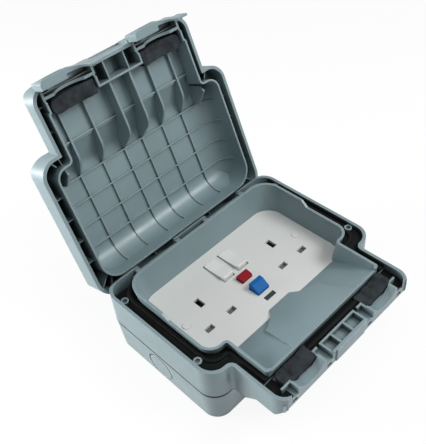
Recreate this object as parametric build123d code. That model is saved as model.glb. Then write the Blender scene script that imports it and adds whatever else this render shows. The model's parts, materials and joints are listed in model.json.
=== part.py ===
from build123d import *
import math
import os

# Outdoor weatherproof double socket, lying on its back with the lid swung open.
# Millimetres. Origin: centre of the wall face. +X right, +Y up the wall, +Z out of the wall.

# Case outline, a wide body with a narrower skirt below it
CASE_WIDTH = 174.0
BODY_HEIGHT = 114.0
SKIRT_LENGTH = 46.2
SKIRT_INSET = 17.6
CORNER_R = 14.0
NOTCH_R = 3.0
SKIRT_R = 12.0
WALL = 2.5
HALF_W = CASE_WIDTH / 2
HALF_H = BODY_HEIGHT / 2
HALF_S = HALF_W - SKIRT_INSET
FRONT_Y = HALF_H + SKIRT_LENGTH

# Levels above the wall
SEAM_Z = 28.5
SEAL_STRIP = 0.8
FRAME_Z = SEAM_Z + SEAL_STRIP
RIM_Z = 57.3
FACE_Z = RIM_Z - 16.8
DECK_Z = RIM_Z - 6.3
DECK_T = 2.2
SKIRT_FLOOR_Z = 38.0
SKIRT_STEP = 10.0
SKIRT_SHELF = 11.0
SKIRT_CHAMFER = 9.4

# Back box
BOX_DRAFT = 1.8
BOX_FLOOR = 2.6
KNOCKOUT_R = 12.5
KNOCKOUT_Y = 1.6
KNOCKOUT_Z = 12.8
KNOCKOUT_LINE = 1.2
KNOCKOUT_DEPTH = 0.9
FIX_SPACING_X = 120.0
FIX_SPACING_Y = 70.0
FIX_HOLE_R = 2.5
FIX_BOSS_RISE = 2.0
PILLAR_R = 4.5
PILLAR_BORE_FLOOR = 8.0

# Case screws
SCREW_X = HALF_W - 5.6
SCREW_Y = HALF_H - 19.3
SCREW_R = 1.5
SCREW_HEAD_R = 1.8
SCREW_SINK = 1.4
SCREW_REACH = 16.0
SCREW_CROSS = (1.2, 0.25, 0.7)
BOSS_R = 3.0
BOSS_Z = RIM_Z - 1.9

# Face plate and its fixings
PLATE_WIDTH = CASE_WIDTH - 28.0
PLATE_HEIGHT = BODY_HEIGHT - 28.0
PLATE_Y = -2.5
PLATE_T = 4.0
PLATE_SKIN = 2.5
PLATE_R = 10.0
PLATE_BACK_Z = FACE_Z - PLATE_T
PLATE_SCREW_PITCH = PLATE_WIDTH - 25.4
PLATE_SCREW_R = 1.6
PLATE_SCREW_HEAD_R = 3.4
PLATE_SCREW_FLOOR = 1.6
CAP_DEPTH = 1.0
CAP_RISE = 0.5

# Outlets, three pin
OUTLET_PITCH = 79.5
EARTH_Y = 5.4
EARTH_SLOT = (4.6, 8.6)
LIVE_SLOT = (7.3, 4.6)
LIVE_DROP = 22.2
LIVE_SPREAD = 22.2

# Switches
ROCKER_SIZE = (11.0, 22.0)
ROCKER_PITCH = 15.4
ROCKER_Y = 16.6
ROCKER_RISE = 2.2
ROCKER_TILT = 5.0
ROCKER_R = 1.8
ROCKER_DISH = 0.5
ROCKER_END_GAP = 0.9
ROCKER_SIDE = 5.4
ROCKER_KEEL = 4.0
ROCKER_PIVOT_R = 1.2
ROCKER_PIVOT_Z = FACE_Z - 4.7
ROCKER_STUB = 1.4
POST_T = 1.6
POST_HALF = 2.2
POST_RISE = 2.0

# Residual current buttons and their window
BUTTON_GAP = 0.3
BUTTON_TRAVEL = 2.0
BUTTON_FLANGE = (1.0, 1.2)
TEST_SIZE = (10.5, 6.5)
TEST_Y = -3.0
TEST_RISE = 3.6
TEST_SLOPE = 0.8
RESET_SIZE = (11.5, 9.6)
RESET_Y = -18.0
RESET_RISE = 6.2
RESET_SLOPE = 4.2
WINDOW_SIZE = (10.2, 4.0)
WINDOW_Y = -28.8
WINDOW_SINK = 0.4
STEM_R = 1.5
STEM_PLAY = 0.25
STEM_DEPTH = 5.0

# Works behind the plate
HOUSING_DEPTH = 20.0
HOUSING_WIDTH = PLATE_SCREW_PITCH - 2 * (PILLAR_R + 0.8)
HOUSING_HEIGHT = PLATE_HEIGHT - 20.0
HOUSING_Y = -1.5
HOUSING_GAP = 0.3
MODULE_SIZE = (34.0, HOUSING_HEIGHT - 5.0)
MODULE_TOP_Z = FACE_Z - 8.5
SHUTTER_GAP = 0.2
SHUTTER_COVER = 0.35
CONTACT_T = 1.0
CONTACT_ROOM = 0.5
CLIP_TOP = 4.0
BAR_HALF = 2.0
TERMINAL = 7.0
TERMINAL_HALF = 4.0
TERMINAL_BORE_R = 1.8
TERMINAL_SCREW_R = 1.7
LINE_BAR_Y = -10.5
NEUTRAL_BAR_Y = -25.5
NEUTRAL_TERMINAL_X = 12.0

# Sealing ridge inside the lid
RIDGE_T = 1.4
RIDGE = (HALF_W - 10.4, HALF_H - 11.0, HALF_H - 10.4, HALF_S - 8.0)
RIDGE_EDGE_Z = RIM_Z - 0.8
RIDGE_REAR_R = 15.0
RIDGE_SIDE_R = 8.0
RIDGE_NECK_R = 4.4
RIDGE_FRONT_Y = FRONT_Y - 19.2

# Inner surround, the grey tub round the plate, with its sloping apron
TUB_WALL = 2.0
TUB_TOP = (RIDGE[0] - 2.8, RIDGE[1] - 3.4, RIDGE[2] - 4.0, RIDGE[3] - 2.9)
TUB_FOOT = (TUB_TOP[0] - 2.8, TUB_TOP[1] - 5.1, TUB_TOP[2] - 3.1, TUB_TOP[3] - 1.5)
TUB_REAR_R = 15.0
TUB_SIDE_R = 9.0
TUB_NECK_R = 4.0
TUB_FRONT_Y = RIDGE_FRONT_Y - 4.0
TUB_REAR_Z = RIM_Z + 7.2
TUB_FRONT_Z = RIM_Z + 3.0
TUB_STEP_Y = 3.0
TUB_STEP_RUN = 6.0
APRON_Y = TUB_TOP[2] - 0.1
APRON_LIP_Z = RIM_Z + 0.7
APRON_T = 2.0
APRON_BUMP = 4.8
APRON_BUMP_HALF = 11.0
APRON_PANEL_RISE = 0.5
APRON_PANEL_HALF = 28.6
APRON_PANEL_FLARE = 4.0
APRON_PANEL_NECK = 8.0
FLANGE_T = 1.6
GASKET_Z = DECK_Z + FLANGE_T

# Lid gasket and the strip in the seam
GASKET_T = 1.6
GASKET_LIP = 1.2
GASKET_LIP_Z = RIM_Z - 0.9
BEAD_WIDTH = 3.4
BEAD_GAP = 0.3
SEAL_INSET = 0.5

# Lid, drawn shut and then swung open on its hinge
LID_GAP = 0.3
LID_Z = RIM_Z + LID_GAP
LID_OPEN = 111.4
LID_WALL_RISE = 19.0
LID_RISE = 28.0
LID_SKIRT_RISE = 17.0
LID_FACET = 15.0
LID_SHOULDER_R = 12.0
LID_WALL_R = 4.0
LID_SKIRT_TOP_R = 6.0
LID_STEP_Y = (-HALF_H - 1.0, 21.0 - HALF_H)
LID_STEP_R = 12.0
ROOF = 2.5
LID_TOP_Z = LID_Z + LID_RISE
CEILING_Z = LID_TOP_Z - ROOF
SKIRT_CEILING_Z = LID_Z + LID_SKIRT_RISE - ROOF
CAVITY_R = 15.0

# Ribs and fins inside the lid
RIB_T = 1.0
RIB_DEPTH = 2.0
RIB_PITCH_Y = 18.0
RIB_FIRST_Y = HALF_H - 30.3
RIB_ROWS = 4
FRONT_RIB_Y = -HALF_H
FIN_X = (9.0, 30.0, 51.0)
FIN_T = 1.4
FIN_EDGE = (3.0, 11.0, 11.4)
FIN_END_Y = 29.5 - HALF_H
FIN_CURVE = 14.0
FIN_ROUND = 14.0
LEAF_X = 66.5
LEAF_SPAN = (12.5 - HALF_H, 29.0 - HALF_H)
LEAF_EDGE = (9.0, 4.5, 17.0)
LEAF_TIP = 4.5
WEB_T = 1.0
WEB_EDGE = 6.0
SKIRT_WEBS = (14.0, 32.0)

# Hinge
HINGE_Y = HALF_H - 4.6
HINGE_Z = RIM_Z - 6.9
HINGE_SPAN = (13.0, 58.0)
LUG_T = 4.0
LUG_R = 5.4
PIN_R = 1.75
PIN_PLAY = 0.05
BARREL_R = 3.4
SIDE_PLAY = 0.4
GALLERY_Z = HINGE_Z - 7.1
GALLERY_Y = HALF_H - 8.3
GALLERY_WALL = 1.2
RIM_R = RIM_Z - HINGE_Z

# Cable ways through the front of the frame
WAY_X = OUTLET_PITCH / 2
GUTTER_WIDTH = 25.0
GUTTER_DEPTH = 7.0
GUTTER_R = (GUTTER_WIDTH ** 2 / 4 + GUTTER_DEPTH ** 2) / (2 * GUTTER_DEPTH)
GUTTER_Y = 9.4 - FRONT_Y
GUTTER_WALL = 1.5
GUIDE_WALL = 1.4
GUIDE_Y = 15.0 - FRONT_Y
GUIDE_OUTER_Y = 11.6 - FRONT_Y
GUIDE_TURN = (4.0, 7.5)
CELL_WALL_Y = 15.2 - FRONT_Y
CELL_RIB_X = (-7.5, 5.5)
CELL_RIB_HALF = 0.7
CELL_TOP_Z = RIDGE_EDGE_Z - 0.4
BLOCK_HALF = 18.6

# Cable pads in the frame and in the lid
PAD_SPAN = (27.0, 57.0)
PAD_Y = (10.0 - FRONT_Y, 22.0 - FRONT_Y)
PAD_DIP = 2.4
PAD_GAP = 0.3
PAD_SLIT = (3.2, 0.4, 2.5)
PAD_END_R = (1.5, 4.0)
LID_PAD_SPAN = (21.4, 58.2)
LID_PAD_Y = (11.6 - FRONT_Y, 22.8 - FRONT_Y)
LID_PAD_END_R = (1.0, 5.0)

# Latches, both of the same hand: a thumb grip to the left of a cable arch
LATCH_WIDTH = 48.0
LATCH_NECK = 39.0
LATCH_PIN_R = 1.3
LATCH_BARREL_R = 2.9
LATCH_AXIS = (4.6 - FRONT_Y, RIM_Z + 11.3)
LATCH_FOOT_Z = RIM_Z - 11.7
LATCH_FACE_Y = -0.2 - FRONT_Y
LATCH_BACK_Y = 1.6 - FRONT_Y
LATCH_BELLY = (-2.6 - FRONT_Y, RIM_Z + 4.8)
LATCH_LIP_Y = -6.0 - FRONT_Y
LATCH_PLAN = ((-21.5, -4.9), (-14.0, -6.0), (-6.0, -5.6), (1.5, -3.8), (8.0, -1.6))
LATCH_PLAN_END = (-24.0, 14.0)
LATCH_WING = 2.5
LATCH_ARCH_R = 9.5
LATCH_ARCH_X = 5.5
LATCH_ARCH_TOP = RIM_Z + 4.0
LATCH_RECESS_Y = 3.0 - FRONT_Y
LATCH_PLAY = 0.5
HOOK_REACH = 1.1
HOOK_WIDTH = 4.0
HOOK_X = 17.5
CATCH_SIZE = (4.6, 3.2)
CATCH_Z = RIM_Z - 9.7
PANEL_INSET = 2.0
BAY_BACK_Y = 7.8 - FRONT_Y
BAY_WALL = 1.6
POCKET_SPAN = (20.2, 60.0)
POCKET_WALL_Y = 9.8 - FRONT_Y
POCKET_LIP = 1.4
BIG = 400.0


def rounded_face(corners):
    """A flat face through corners (x, y, r), each corner rounded with its own radius."""
    turns = []
    for i, (x, y, r) in enumerate(corners):
        here = Vector(x, y)
        back = (Vector(*corners[i - 1][:2]) - here).normalized()
        ahead = (Vector(*corners[(i + 1) % len(corners)][:2]) - here).normalized()
        half = math.radians(back.get_angle(ahead) / 2)
        inward = (back + ahead).normalized()
        middle = here + inward * (r / math.sin(half) - r)
        reach = r / math.tan(half)
        turns.append((here + back * reach, middle, here + ahead * reach, r))
    edges = []
    for i, (start, middle, end, r) in enumerate(turns):
        if r > 0:
            edges.append(ThreePointArc(start, middle, end))
        edges.append(Line(end, turns[(i + 1) % len(turns)][0]))
    return make_face(edges)


def t_face(wide, rear, notch, narrow, front, r_rear, r_side, r_neck, r_front):
    """The T outline shared by case, lid, ridge and tub: half widths, then distances along Y."""
    return rounded_face(
        [
            (wide, rear, r_rear),
            (-wide, rear, r_rear),
            (-wide, -notch, r_side),
            (-narrow, -notch, r_neck),
            (-narrow, -front, r_front),
            (narrow, -front, r_front),
            (narrow, -notch, r_neck),
            (wide, -notch, r_side),
        ]
    )


def case_face(inset):
    """The case outline, moved inwards by inset."""
    return t_face(
        HALF_W - inset,
        HALF_H - inset,
        HALF_H - inset,
        HALF_S - inset,
        FRONT_Y - inset,
        CORNER_R - inset,
        CORNER_R - inset,
        NOTCH_R + inset,
        SKIRT_R - inset,
    )


def ridge_face(grow):
    """The sealing ridge's inner outline, moved outwards by grow."""
    wide, rear, notch, narrow = RIDGE
    return t_face(
        wide + grow,
        rear + grow,
        notch + grow,
        narrow + grow,
        RIDGE_FRONT_Y + grow,
        RIDGE_REAR_R + grow,
        RIDGE_SIDE_R + grow,
        RIDGE_NECK_R - grow,
        grow + 1.0,
    )


def tub_face(sizes, grow):
    """The tub's inner outline at its foot or top, moved outwards by grow."""
    wide, rear, notch, narrow = sizes
    return t_face(
        wide + grow,
        rear + grow,
        notch + grow,
        narrow + grow,
        TUB_FRONT_Y - TUB_WALL + grow,
        TUB_REAR_R + grow,
        TUB_SIDE_R + grow,
        TUB_NECK_R - grow,
        grow + 0.5,
    )


def prism(face, low, high):
    """A flat face carried straight up from one level to another."""
    return extrude(Pos(0, 0, low) * face, high - low)


def box(x, y, z):
    """A box from three (low, high) pairs."""
    size = [b - a for a, b in (x, y, z)]
    middle = [(a + b) / 2 for a, b in (x, y, z)]
    return Pos(*middle) * Box(*size)


def rod(x, y, r, low, high):
    """An upright cylinder."""
    return Pos(x, y, (low + high) / 2) * Cylinder(r, high - low)


def rod_x(y, z, r, low, high):
    """A cylinder along X."""
    return Pos((low + high) / 2, y, z) * Rot(0, 90, 0) * Cylinder(r, high - low)


def rod_y(x, z, r, low, high):
    """A cylinder along Y."""
    return Pos(x, (low + high) / 2, z) * Rot(90, 0, 0) * Cylinder(r, high - low)


def mirrored(shape):
    """The same shape on the other side of the middle plane."""
    return mirror(shape, about=Plane.YZ)


def both_sides(shape):
    """A shape and its mirror image across the middle plane."""
    return shape + mirrored(shape)


def swing(shape):
    """Turns a shape drawn on the shut lid to where the open lid holds it."""
    return shape.rotate(Axis((0, HINGE_Y, HINGE_Z), (1, 0, 0)), -LID_OPEN)


def back_box():
    """The lower box: drafted walls, screw pillars, conduit knock-outs and wall fixing holes."""
    foot = rectangle(HALF_W - BOX_DRAFT, HALF_H - BOX_DRAFT, CORNER_R - BOX_DRAFT)
    head = rectangle(HALF_W, HALF_H, CORNER_R)
    foot_in = rectangle(HALF_W - BOX_DRAFT - WALL, HALF_H - BOX_DRAFT - WALL, CORNER_R - BOX_DRAFT - WALL)
    head_in = rectangle(HALF_W - WALL, HALF_H - WALL, CORNER_R - WALL)
    shell = loft([foot, Pos(0, 0, SEAM_Z) * head], ruled=True)
    hollow = loft([Pos(0, 0, BOX_FLOOR) * foot_in, Pos(0, 0, SEAM_Z) * head_in], ruled=True)
    shell -= hollow
    for x, y in case_screw_places():
        wall_x = math.copysign(HALF_W - WALL, x)
        corner = rod(x, y, BOSS_R, BOX_FLOOR, SEAM_Z)
        corner += box((min(x, wall_x), max(x, wall_x)), (y - BOSS_R, y + BOSS_R), (BOX_FLOOR, SEAM_Z))
        shell += corner & loft([foot, Pos(0, 0, SEAM_Z) * head], ruled=True)
        shell -= rod(x, y, SCREW_R, SEAM_Z - SCREW_REACH - FIX_BOSS_RISE, SEAM_Z)
    for x in plate_screw_xs():
        shell += rod(x, PLATE_Y, PILLAR_R, BOX_FLOOR, PLATE_BACK_Z)
        shell -= rod(x, PLATE_Y, PLATE_SCREW_R, BOX_FLOOR + PILLAR_BORE_FLOOR, PLATE_BACK_Z)
    fix_top = BOX_FLOOR + FIX_BOSS_RISE
    for x in (-FIX_SPACING_X / 2, FIX_SPACING_X / 2):
        for y in (-FIX_SPACING_Y / 2, FIX_SPACING_Y / 2):
            shell += rod(x, y, 2 * FIX_HOLE_R, BOX_FLOOR, fix_top)
            shell -= rod(x, y, FIX_HOLE_R, 0, fix_top)
    for side in (-1, 1):
        disc_x = side * (HALF_W - BOX_DRAFT / 2)
        low, high = disc_x - KNOCKOUT_DEPTH, disc_x + KNOCKOUT_DEPTH
        shell -= rod_x(KNOCKOUT_Y, KNOCKOUT_Z, KNOCKOUT_R, low, high) - rod_x(
            KNOCKOUT_Y, KNOCKOUT_Z, KNOCKOUT_R - KNOCKOUT_LINE, low, high
        )
    return shell


def rectangle(half_x, half_y, r):
    """A rectangle with rounded corners, from half sizes."""
    return rounded_face(
        [(half_x, half_y, r), (-half_x, half_y, r), (-half_x, -half_y, r), (half_x, -half_y, r)]
    )


def case_screw_places():
    """The four screws that hold the front frame to the back box."""
    return [(sx * SCREW_X, sy * SCREW_Y) for sx in (-1, 1) for sy in (-1, 1)]


def plate_screw_xs():
    """The two face plate screws, either side of the middle."""
    return (-PLATE_SCREW_PITCH / 2, PLATE_SCREW_PITCH / 2)


def slab_x(corners, low, high):
    """A slab along X from rounded corners (y, z, r)."""
    return extrude(Plane.YZ.offset(low) * rounded_face(corners), high - low)


def slab_y(corners, low, high):
    """A slab along Y from rounded corners (x, z, r)."""
    return extrude(Plane.XZ.offset(-high) * rounded_face(corners), high - low)


def skirt_under(lift):
    """Everything below the skirt's stepped underside, raised by lift."""
    start = -HALF_H - SKIRT_SHELF
    points = [
        (-FRONT_Y - 2, FRAME_Z - 5),
        (start, FRAME_Z - 5),
        (start, FRAME_Z + lift),
        (start - SKIRT_STEP, SKIRT_FLOOR_Z + lift),
        (-FRONT_Y + SKIRT_CHAMFER, SKIRT_FLOOR_Z + lift),
        (-FRONT_Y - 2, SKIRT_FLOOR_Z + SKIRT_CHAMFER + 2 + lift),
    ]
    return slab_x([(y, z, 0) for y, z in points], -BIG, BIG)


def gutter_cut(level, low, high):
    """The round bottomed cable way, its chord lying at the given level."""
    return rod_y(WAY_X, level + GUTTER_R - GUTTER_DEPTH, GUTTER_R, low, high)


def centre_panel(low, high):
    """The slightly sunk panel between the latches: what is cut from the front, then its new wall."""
    half, panel_y = latch_span(LATCH_PLAY)[0], PANEL_INSET - FRONT_Y
    outside = box((-half, half), (-FRONT_Y - 1, panel_y), (low, high))
    return outside, box((-half - WALL, half + WALL), (panel_y, panel_y + WALL), (low, high))


def front_frame():
    """The T shaped upper frame: rim, deck, hinge gallery with lugs, cable ways and catches."""
    frame = prism(case_face(0), FRAME_Z, RIM_Z) - skirt_under(0)
    shelf = box((-HALF_S, HALF_S), (-HALF_H - SKIRT_SHELF, -HALF_H + WALL), (FRAME_Z, FRAME_Z + WALL))
    frame -= prism(case_face(WALL), FRAME_Z, RIM_Z) - skirt_under(WALL) - shelf
    deck = prism(case_face(WALL), DECK_Z - DECK_T, DECK_Z)
    deck &= box((-HALF_W, HALF_W), (-FRONT_Y, GALLERY_Y), (0, RIM_Z))
    deck -= prism(tub_face(TUB_TOP, TUB_WALL + BUTTON_GAP), 0, RIM_Z)
    frame += deck
    frame += hinge_gallery()
    between_lugs = (HINGE_SPAN[0] + LUG_T, HINGE_SPAN[1] - LUG_T)
    frame -= both_sides(box(between_lugs, (GALLERY_Y, HALF_H + 1), (GALLERY_Z, RIM_Z + 1)))
    sunk, panel = centre_panel(SKIRT_FLOOR_Z, RIM_Z)
    frame += panel - skirt_under(0)
    frame -= sunk
    frame += both_sides(cable_way())
    frame += centre_block()
    recess = box(latch_span(LATCH_PLAY), (-FRONT_Y - 5, LATCH_RECESS_Y), (0, RIM_Z + 1))
    frame -= both_sides(recess)
    frame += both_sides(
        box(latch_span(LATCH_PLAY + WALL), (LATCH_RECESS_Y, LATCH_RECESS_Y + WALL), (SKIRT_FLOOR_Z, DECK_Z))
        - skirt_under(0)
    )
    frame -= both_sides(gutter_cut(RIM_Z, -FRONT_Y - 5, GUTTER_Y + 1))
    frame -= both_sides(catches())
    for x, y in case_screw_places():
        frame += rod(x, y, BOSS_R, FRAME_Z, BOSS_Z)
        frame -= rod(x, y, SCREW_HEAD_R, DECK_Z, BOSS_Z)
        frame -= rod(x, y, SCREW_R, FRAME_Z, BOSS_Z)
    relief = box((-HALF_W, HALF_W), (HINGE_Y, HALF_H + 1), (HINGE_Z, RIM_Z + 1))
    frame -= relief - rod_x(HINGE_Y, HINGE_Z, RIM_R, -HALF_W, HALF_W)
    return frame


def hinge_gallery():
    """The sunk strip behind the tub where the lid's barrels lie, with four lugs for the pins."""
    end = HINGE_SPAN[1] + WALL
    well = box((-end, end), (GALLERY_Y - GALLERY_WALL, HALF_H - WALL), (GALLERY_Z - DECK_T, DECK_Z))
    well -= box((1 - end, end - 1), (GALLERY_Y, HALF_H), (GALLERY_Z, RIM_Z))
    lugs = Part()
    for x in lug_starts():
        lug = rod_x(HINGE_Y, HINGE_Z, LUG_R, x, x + LUG_T)
        lug += box((x, x + LUG_T), (HINGE_Y - LUG_R, HALF_H), (GALLERY_Z - 1, HINGE_Z))
        lugs += lug & box((x, x + LUG_T), (GALLERY_Y - 1, HALF_H), (0, RIM_Z))
    well += both_sides(lugs)
    return well - both_sides(rod_x(HINGE_Y, HINGE_Z, PIN_R, HINGE_SPAN[0], HINGE_SPAN[1]))


def lug_starts():
    """Where each lug of the right hinge begins along X."""
    return (HINGE_SPAN[0], HINGE_SPAN[1] - LUG_T)


def latch_span(grow):
    """The right latch's extent along X."""
    return (WAY_X - LATCH_WIDTH / 2 - grow, WAY_X + LATCH_WIDTH / 2 + grow)


def cable_way():
    """The block behind the rim that carries one round bottomed cable way, and its guide fins."""
    half = GUTTER_WIDTH / 2 + GUTTER_WALL
    inner, outer = WAY_X - half, WAY_X + half
    block = box((inner, outer), (LATCH_RECESS_Y, GUTTER_Y), (DECK_Z - DECK_T, RIM_Z))
    levels = (DECK_Z - 1, CELL_TOP_Z)
    inner_end, outer_end = inner + GUTTER_WALL, outer - GUTTER_WALL
    block += box((inner, inner_end), (GUTTER_Y, GUIDE_Y), levels)
    block += box((inner - GUIDE_TURN[0], inner_end), (GUIDE_Y - GUIDE_WALL, GUIDE_Y), levels)
    block += box((outer_end, outer), (GUTTER_Y, GUIDE_OUTER_Y), levels)
    block += box((outer_end, outer + GUIDE_TURN[1]), (GUIDE_OUTER_Y - GUIDE_WALL, GUIDE_OUTER_Y), levels)
    return block


def centre_block():
    """The ribbed cells between the two cable ways."""
    levels = (DECK_Z - 1, CELL_TOP_Z)
    block = box((-BLOCK_HALF, BLOCK_HALF), (CELL_WALL_Y - GUIDE_WALL, CELL_WALL_Y), levels)
    end = BLOCK_HALF - CELL_RIB_HALF
    for x in (*CELL_RIB_X, end, -end):
        block += box((x - CELL_RIB_HALF, x + CELL_RIB_HALF), (PANEL_INSET - FRONT_Y, CELL_WALL_Y), levels)
    return block


def catches():
    """The two slots beside a cable way that the latch hooks enter."""
    slots = Part()
    for side in (-1, 1):
        x = WAY_X + side * HOOK_X
        slots += box(
            (x - CATCH_SIZE[0] / 2, x + CATCH_SIZE[0] / 2),
            (-FRONT_Y - 1, LATCH_RECESS_Y + WALL + LATCH_PLAY),
            (CATCH_Z - CATCH_SIZE[1] / 2, CATCH_Z + CATCH_SIZE[1] / 2),
        )
    return slots


def tub_solid(grow):
    """The tub's drafted body, filled, from the face plate up to its rear height."""
    return loft(
        [
            Pos(0, 0, FACE_Z) * tub_face(TUB_FOOT, grow),
            Pos(0, 0, TUB_REAR_Z) * tub_face(TUB_TOP, grow),
        ],
        ruled=True,
    )


def apron_region(drop, bump):
    """Everything above the sloping apron, lowered by drop, its foot moved back by bump."""
    foot = -APRON_Y + bump
    points = [
        (BIG, FACE_Z - drop - 5),
        (BIG, BIG),
        (-BIG, BIG),
        (-BIG, APRON_LIP_Z - drop),
        (-TUB_FRONT_Y, APRON_LIP_Z - drop),
        (foot, FACE_Z - drop),
        (foot, FACE_Z - drop - 5),
    ]
    return slab_x([(y, z, 0) for y, z in points], -BIG, BIG)


def channel(inset, low, high):
    """The gasket channel round the tub between two levels, its outer edge moved in by inset."""
    area = prism(case_face(WALL + inset), low, high)
    ring = box((-HALF_W, HALF_W), (PAD_Y[1] + PAD_GAP, GALLERY_Y - GALLERY_WALL - PAD_GAP), (low, high))
    front = box((PAD_GAP - PAD_SPAN[0], PAD_SPAN[0] - PAD_GAP), (CELL_WALL_Y + PAD_GAP, 0), (low, high))
    return area & (ring + front)


def boss_clearance():
    """Room round the four screw bosses."""
    room = Part()
    for x, y in case_screw_places():
        room += rod(x, y, BOSS_R + PAD_GAP, DECK_Z, RIM_Z)
    return room


def inner_surround():
    """The tub: drafted walls, stepped top, flange on the deck and the apron sloping to its lip."""
    body = tub_solid(TUB_WALL)
    inside = tub_solid(0)
    tub = body - (inside & apron_region(0, 0))
    tub -= inside - apron_region(APRON_T, 0) - box((-BIG, BIG), (-APRON_Y - APRON_T, BIG), (0, BIG))
    tub += apron_panel(inside)
    top_cut = [
        (TUB_STEP_Y, TUB_REAR_Z + 5, 0),
        (TUB_STEP_Y, TUB_REAR_Z, 1.5),
        (TUB_STEP_Y - TUB_STEP_RUN, TUB_FRONT_Z, 1.5),
        (-FRONT_Y, TUB_FRONT_Z, 0),
        (-FRONT_Y, TUB_REAR_Z + 5, 0),
    ]
    tub -= slab_x(top_cut, -BIG, BIG)
    lip_span = (1 - TUB_FOOT[3], TUB_FOOT[3] - 1)
    tub -= box(lip_span, (-FRONT_Y, -TUB_FRONT_Y + TUB_WALL), (APRON_LIP_Z, TUB_REAR_Z + 1))
    flange = channel(PAD_GAP, DECK_Z, GASKET_Z) - body - boss_clearance()
    return tub + flange


def apron_panel(inside):
    """The raised panel down the middle of the apron, with the bump that reaches back on to the plate."""
    right = [
        (APRON_BUMP_HALF, -APRON_Y + APRON_BUMP),
        (APRON_BUMP_HALF + APRON_PANEL_FLARE, -APRON_Y - 1),
        (APRON_PANEL_HALF, -APRON_Y - APRON_PANEL_NECK),
        (APRON_PANEL_HALF + APRON_PANEL_FLARE, -TUB_FRONT_Y + TUB_WALL),
    ]
    outline = Polyline(right + [(-x, y) for x, y in reversed(right)], close=True)
    column = prism(make_face(outline), FACE_Z, APRON_LIP_Z)
    lifted = apron_region(-APRON_PANEL_RISE, APRON_BUMP)
    return (column & inside) - lifted - tub_under_apron()


def tub_under_apron():
    """Everything below the apron's thin floor, in front of the face plate."""
    low = box((-BIG, BIG), (-BIG, -APRON_Y - APRON_T), (0, BIG))
    return low - apron_region(APRON_T, 0)


def lid_gasket():
    """The black seal in the channel: a flat web, an upstand along the rim and a bead under the ridge."""
    body = tub_solid(TUB_WALL + 0.15)
    web = channel(0.1, GASKET_Z, GASKET_Z + GASKET_T)
    lip = channel(0.1, GASKET_Z, GASKET_LIP_Z) - prism(case_face(WALL + 0.1 + GASKET_LIP), GASKET_Z, RIM_Z)
    lip -= box((-PAD_SPAN[1], PAD_SPAN[1]), (-FRONT_Y, PAD_Y[1] + WALL), (GASKET_Z, RIM_Z))
    slack = (BEAD_WIDTH - RIDGE_T) / 2
    bead_top = RIDGE_EDGE_Z - BEAD_GAP
    bead = prism(ridge_face(RIDGE_T + slack), GASKET_Z, bead_top)
    bead -= prism(ridge_face(-slack), GASKET_Z, bead_top)
    bead &= channel(GASKET_LIP, GASKET_Z, RIM_Z)
    return web + lip + bead - body - boss_clearance()


def box_seal():
    """The thin strip pressed between back box and front frame."""
    ring = rectangle(HALF_W - SEAL_INSET, HALF_H - SEAL_INSET, CORNER_R - SEAL_INSET)
    hole = rectangle(HALF_W - WALL, HALF_H - WALL, CORNER_R - WALL)
    return prism(ring, SEAM_Z, FRAME_Z) - prism(hole, SEAM_Z, FRAME_Z)


def case_screws():
    """Four cross headed screws from the frame's bosses down into the back box."""
    group = Part()
    reach, half, depth = SCREW_CROSS
    head_z = BOSS_Z - SCREW_SINK
    for x, y in case_screw_places():
        head = rod(x, y, SCREW_HEAD_R - 2 * PIN_PLAY, DECK_Z, head_z)
        head -= box((x - reach, x + reach), (y - half, y + half), (head_z - depth, head_z))
        head -= box((x - half, x + half), (y - reach, y + reach), (head_z - depth, head_z))
        group += head + rod(x, y, SCREW_R - PIN_PLAY, SEAM_Z - SCREW_REACH, DECK_Z)
    return group


def cable_pad(side):
    """One soft block that closes on the cables, dished along the cable way."""
    y_low, y_high = PAD_Y
    pad = prism(pad_face(PAD_SPAN, PAD_Y, PAD_END_R), DECK_Z, LID_Z)
    r = dish_r()
    pad -= rod_y(WAY_X, LID_Z + r - PAD_DIP, r, y_low - 1, y_high + 1)
    offset, half, depth = PAD_SLIT
    for x in (WAY_X - offset, WAY_X + offset):
        pad -= box((x - half, x + half), (y_low + depth, y_high + 1), (LID_Z - PAD_DIP - depth, LID_Z + 1))
    fins = cable_way() - box((0, HALF_W), (-FRONT_Y, GUTTER_Y), (0, RIM_Z))
    pad -= fins.moved(Location((PAD_GAP, 0, 0))) + fins.moved(Location((-PAD_GAP, 0, 0)))
    pad -= fins.moved(Location((0, PAD_GAP, 0))) + fins
    pad = largest(pad)
    return pad if side > 0 else mirrored(pad)


def pad_face(x, y, radii):
    """A pad's outline from two (low, high) pairs, its inner and outer ends rounded."""
    inner, outer = radii
    return rounded_face([(x[0], y[1], inner), (x[0], y[0], inner), (x[1], y[0], outer), (x[1], y[1], outer)])


def dish_r():
    """Radius of the shallow dish that a pad has for the cable."""
    return (GUTTER_WIDTH ** 2 / 4 + PAD_DIP ** 2) / (2 * PAD_DIP)


def largest(shape):
    """The biggest solid of a shape."""
    return max(shape.solids(), key=lambda solid: solid.volume)


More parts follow.
